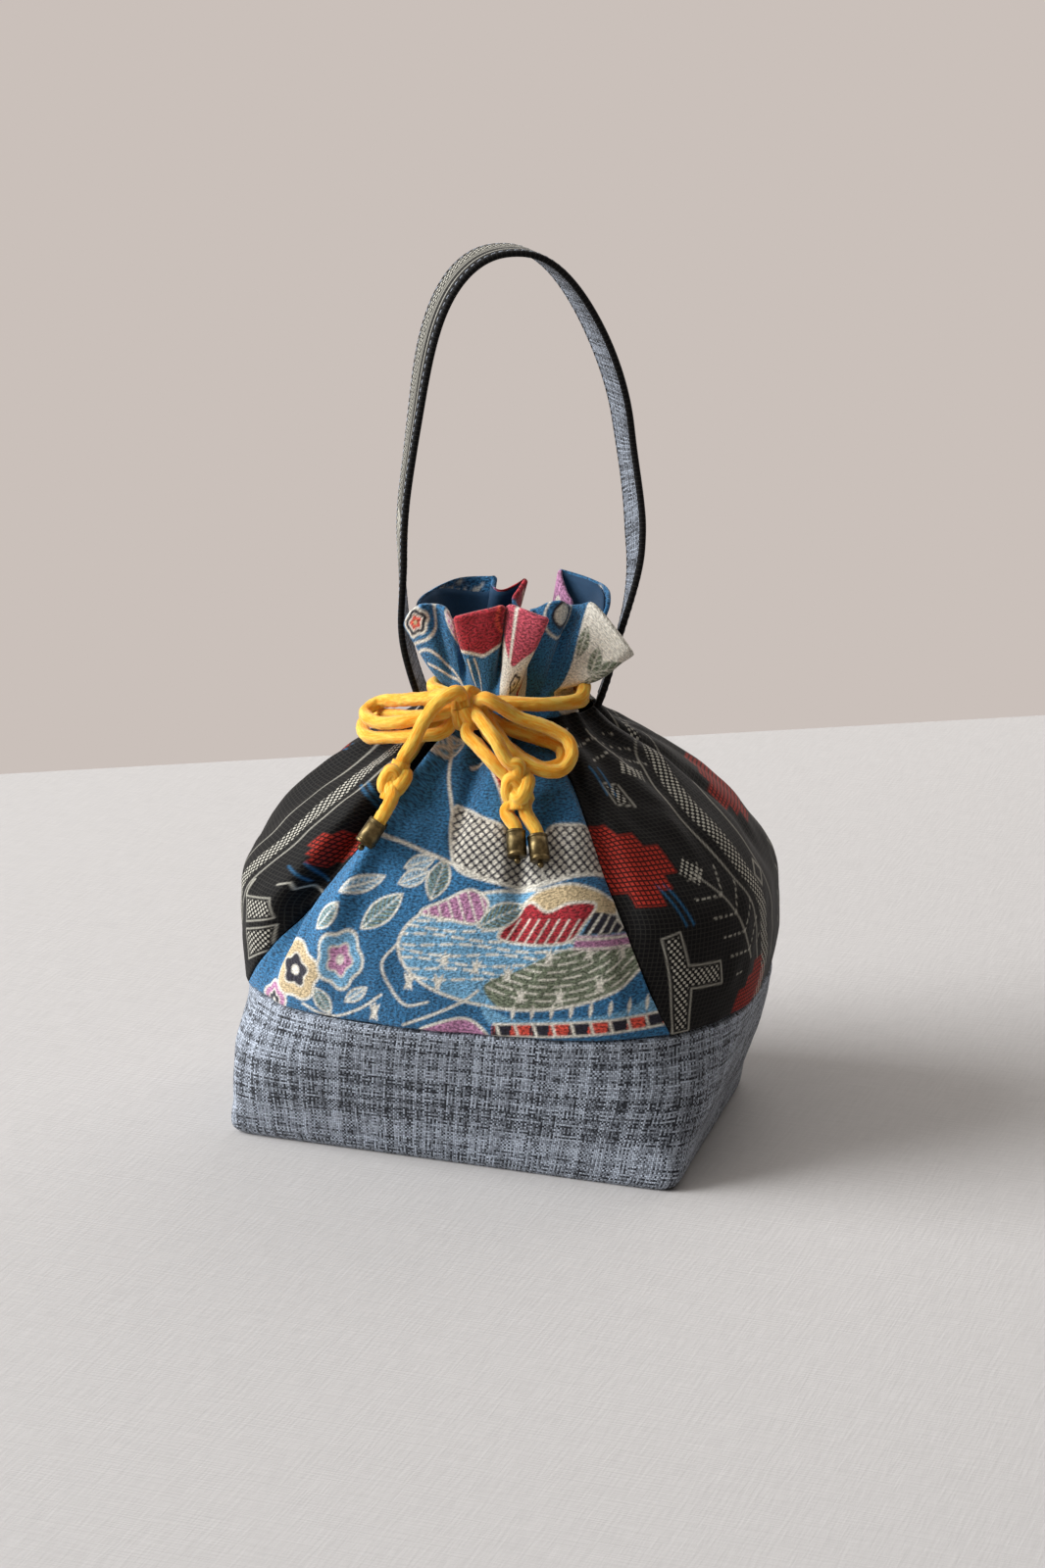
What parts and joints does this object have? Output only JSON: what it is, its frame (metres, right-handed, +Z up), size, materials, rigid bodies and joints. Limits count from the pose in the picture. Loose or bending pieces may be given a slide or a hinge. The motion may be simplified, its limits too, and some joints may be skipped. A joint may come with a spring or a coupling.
{
  "type": "drawstring handbag",
  "caption": "Small drawstring handbag with a boxed base, gathered neck and frill, a short carrying strap and drawcords tied in a bow with metal cord ends.",
  "frame": {"origin": "middle of the bag's bounding box at the underside of the base, on the floor", "axes": "+Z up towards the strap; -Y towards the front panel and its bow; +X towards the bag's right side seen from the front"},
  "size_m": [0.2036, 0.166, 0.3307],
  "materials": {
    "grey_cloth": "slub weave, matt",
    "print_cloth": "printed crepe, matt",
    "dark_cloth": "woven stripe and figure, low sheen",
    "lining_cloth": "plain weave, matt",
    "cord": "soft spun cord, matt",
    "brass": "antique, satin"
  },
  "bodies": {
    "root": {"base_cloth": "grey_cloth", "front_panel": "print_cloth", "back_panel": "print_cloth", "left_side_panel": "dark_cloth", "right_side_panel": "dark_cloth", "front_top_band": "print_cloth", "back_top_band": "print_cloth", "lining": "lining_cloth", "handle_outer": "dark_cloth", "handle_inner": "grey_cloth", "drawcord_left": "cord", "drawcord_right": "cord", "bow_knot": "cord", "loop_left_front": "cord", "loop_left_rear": "cord", "loop_right_front": "cord", "loop_right_rear": "cord", "tail_left_front": "cord", "tail_left_rear": "cord", "tail_right_inner": "cord", "tail_right_outer": "cord", "tail_knot_left": "cord", "tail_knot_right": "cord", "tip_left_front": "cord", "tip_left_rear": "cord", "tip_right_inner": "cord", "tip_right_outer": "cord", "cord_end_left_front": "brass", "cord_end_left_rear": "brass", "cord_end_right_inner": "brass", "cord_end_right_outer": "brass"}
  },
  "joints": []
}
